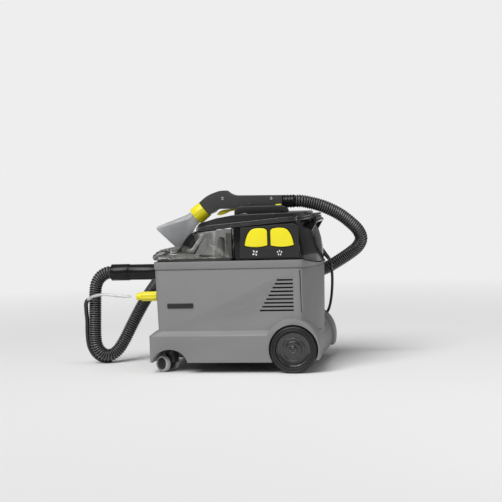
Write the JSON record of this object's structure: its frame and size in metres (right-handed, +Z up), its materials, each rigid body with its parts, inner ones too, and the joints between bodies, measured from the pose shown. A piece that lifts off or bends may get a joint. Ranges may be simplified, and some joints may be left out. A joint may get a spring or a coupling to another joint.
{
  "type": "carpet cleaner machine",
  "caption": "Spray-extraction carpet cleaner with a grey tank housing, black motor head, clear front cover, hand tool parked on the hinged lid and a looped suction hose.",
  "frame": {"origin": "on the floor under the middle of the machine's box, hoses and cord left out", "axes": "+X to the rear (large wheels), +Y to the side the suction hose runs along, +Z up"},
  "size_m": [0.6958, 0.505, 0.4219],
  "materials": {
    "grey_housing": "satin moulded",
    "black_plastic": "satin",
    "charcoal_plastic": "fine texture",
    "yellow_plastic": "glossy",
    "clear_plastic": "clear moulded",
    "clear_hose": "clear tube",
    "smoke_plastic": "translucent smoke",
    "natural_plastic": "natural",
    "rubber_black": "matt",
    "caster_tread": "matt grey",
    "steel": "plain"
  },
  "bodies": {
    "machine": {"main_housing": "grey_housing", "base_plate": "black_plastic", "vent_baffle": "black_plastic", "fresh_water_tank": "natural_plastic", "dirty_water_tank": "smoke_plastic", "container_seal": "rubber_black", "suction_turbine": "steel", "motor_deck": "black_plastic", "spray_pump": "charcoal_plastic", "water_line": "rubber_black", "rear_axle": "steel", "head_housing": "black_plastic", "switch_panel": "charcoal_plastic", "hinge_pin": "steel", "hose_socket": "black_plastic", "hose_cuff": "black_plastic", "spray_socket": "black_plastic", "spray_coupling": "yellow_plastic", "hose_strap": "rubber_black", "cord_outlet": "rubber_black", "name_badge": "charcoal_plastic", "mains_cord": "rubber_black", "mains_coil": "rubber_black", "mains_plug": "rubber_black", "suction_hose_front": "rubber_black", "suction_hose_rear": "rubber_black", "spray_hose": "clear_hose"},
    "wheel_near": {"tyre_near": "rubber_black", "wheel_rim_near": "black_plastic", "hub_cap_near": "charcoal_plastic"},
    "wheel_far": {"tyre_far": "rubber_black", "wheel_rim_far": "black_plastic", "hub_cap_far": "charcoal_plastic"},
    "caster_near": {"caster_yoke_near": "charcoal_plastic", "caster_axle_near": "steel"},
    "caster_far": {"caster_yoke_far": "charcoal_plastic", "caster_axle_far": "steel"},
    "caster_roll_near_a": {"caster_wheel_near_a": "caster_tread"},
    "caster_roll_near_b": {"caster_wheel_near_b": "caster_tread"},
    "caster_roll_far_a": {"caster_wheel_far_a": "caster_tread"},
    "caster_roll_far_b": {"caster_wheel_far_b": "caster_tread"},
    "lid": {"lid_frame": "black_plastic", "clear_cover": "clear_plastic", "carry_handle": "charcoal_plastic", "tool_rest_front": "charcoal_plastic", "tool_rest_rear": "yellow_plastic", "float_cage": "natural_plastic", "inlet_elbow": "natural_plastic", "splash_tray": "smoke_plastic", "nozzle_neck": "charcoal_plastic", "nozzle_shell": "clear_plastic", "tool_shell_near": "charcoal_plastic", "tool_shell_far": "charcoal_plastic", "trigger_pin": "steel", "tool_hose_connector": "black_plastic"},
    "float_ball": {"float": "yellow_plastic"},
    "trigger": {"spray_trigger": "yellow_plastic"},
    "nut": {"union_nut": "yellow_plastic"},
    "vacuum_switch": {"rocker_vacuum": "yellow_plastic"},
    "spray_switch": {"rocker_spray": "yellow_plastic"}
  },
  "joints": [
    {"name": "wheel_near_spin", "type": "hinge", "parent": "machine", "child": "wheel_near", "pos_m": [0.15325, -0.147, 0.054], "axis": [0, 1, 0], "continuous": true},
    {"name": "wheel_far_spin", "type": "hinge", "parent": "machine", "child": "wheel_far", "pos_m": [0.15325, 0.147, 0.054], "axis": [0, 1, 0], "continuous": true},
    {"name": "caster_near_swivel", "type": "hinge", "parent": "machine", "child": "caster_near", "pos_m": [-0.14275, -0.118, 0.05], "axis": [0, 0, 1], "continuous": true},
    {"name": "caster_far_swivel", "type": "hinge", "parent": "machine", "child": "caster_far", "pos_m": [-0.14275, 0.118, 0.05], "axis": [0, 0, 1], "continuous": true},
    {"name": "caster_near_a_spin", "type": "hinge", "parent": "caster_near", "child": "caster_roll_near_a", "pos_m": [-0.15574, -0.1105, 0.0195], "axis": [0.5, 0.866, 0], "continuous": true},
    {"name": "caster_near_b_spin", "type": "hinge", "parent": "caster_near", "child": "caster_roll_near_b", "pos_m": [-0.15574, -0.1105, 0.0195], "axis": [0.5, 0.866, 0], "continuous": true},
    {"name": "caster_far_a_spin", "type": "hinge", "parent": "caster_far", "child": "caster_roll_far_a", "pos_m": [-0.15574, 0.1255, 0.0195], "axis": [0.5, 0.866, 0], "continuous": true},
    {"name": "caster_far_b_spin", "type": "hinge", "parent": "caster_far", "child": "caster_roll_far_b", "pos_m": [-0.15574, 0.1255, 0.0195], "axis": [0.5, 0.866, 0], "continuous": true},
    {"name": "lid_hinge", "type": "hinge", "parent": "machine", "child": "lid", "pos_m": [0.19725, 0, 0.3454], "axis": [0, 1, 0], "range_deg": [0, 70], "deforming": ["suction_hose_rear"]},
    {"name": "float_rise", "type": "slide", "parent": "lid", "child": "float_ball", "axis": [0, 0, 1], "range_m": [0, 0.02]},
    {"name": "trigger_pull", "type": "hinge", "parent": "lid", "child": "trigger", "pos_m": [0.00025, 0.062, 0.381], "axis": [0, 1, 0], "range_deg": [0, 9], "stiffness_Nm_per_rad": 0.08, "springref_deg": -6.88},
    {"name": "nut_turn", "type": "hinge", "parent": "lid", "child": "nut", "pos_m": [-0.10475, 0.062, 0.369], "axis": [-0.7826, 0, -0.6225], "range_deg": [0, 60]},
    {"name": "vacuum_rocker", "type": "hinge", "parent": "machine", "child": "vacuum_switch", "pos_m": [0.07275, -0.141, 0.312], "axis": [1, 0, 0], "range_deg": [-6, 6]},
    {"name": "spray_rocker", "type": "hinge", "parent": "machine", "child": "spray_switch", "pos_m": [0.13375, -0.141, 0.312], "axis": [1, 0, 0], "range_deg": [-6, 6]}
  ]
}
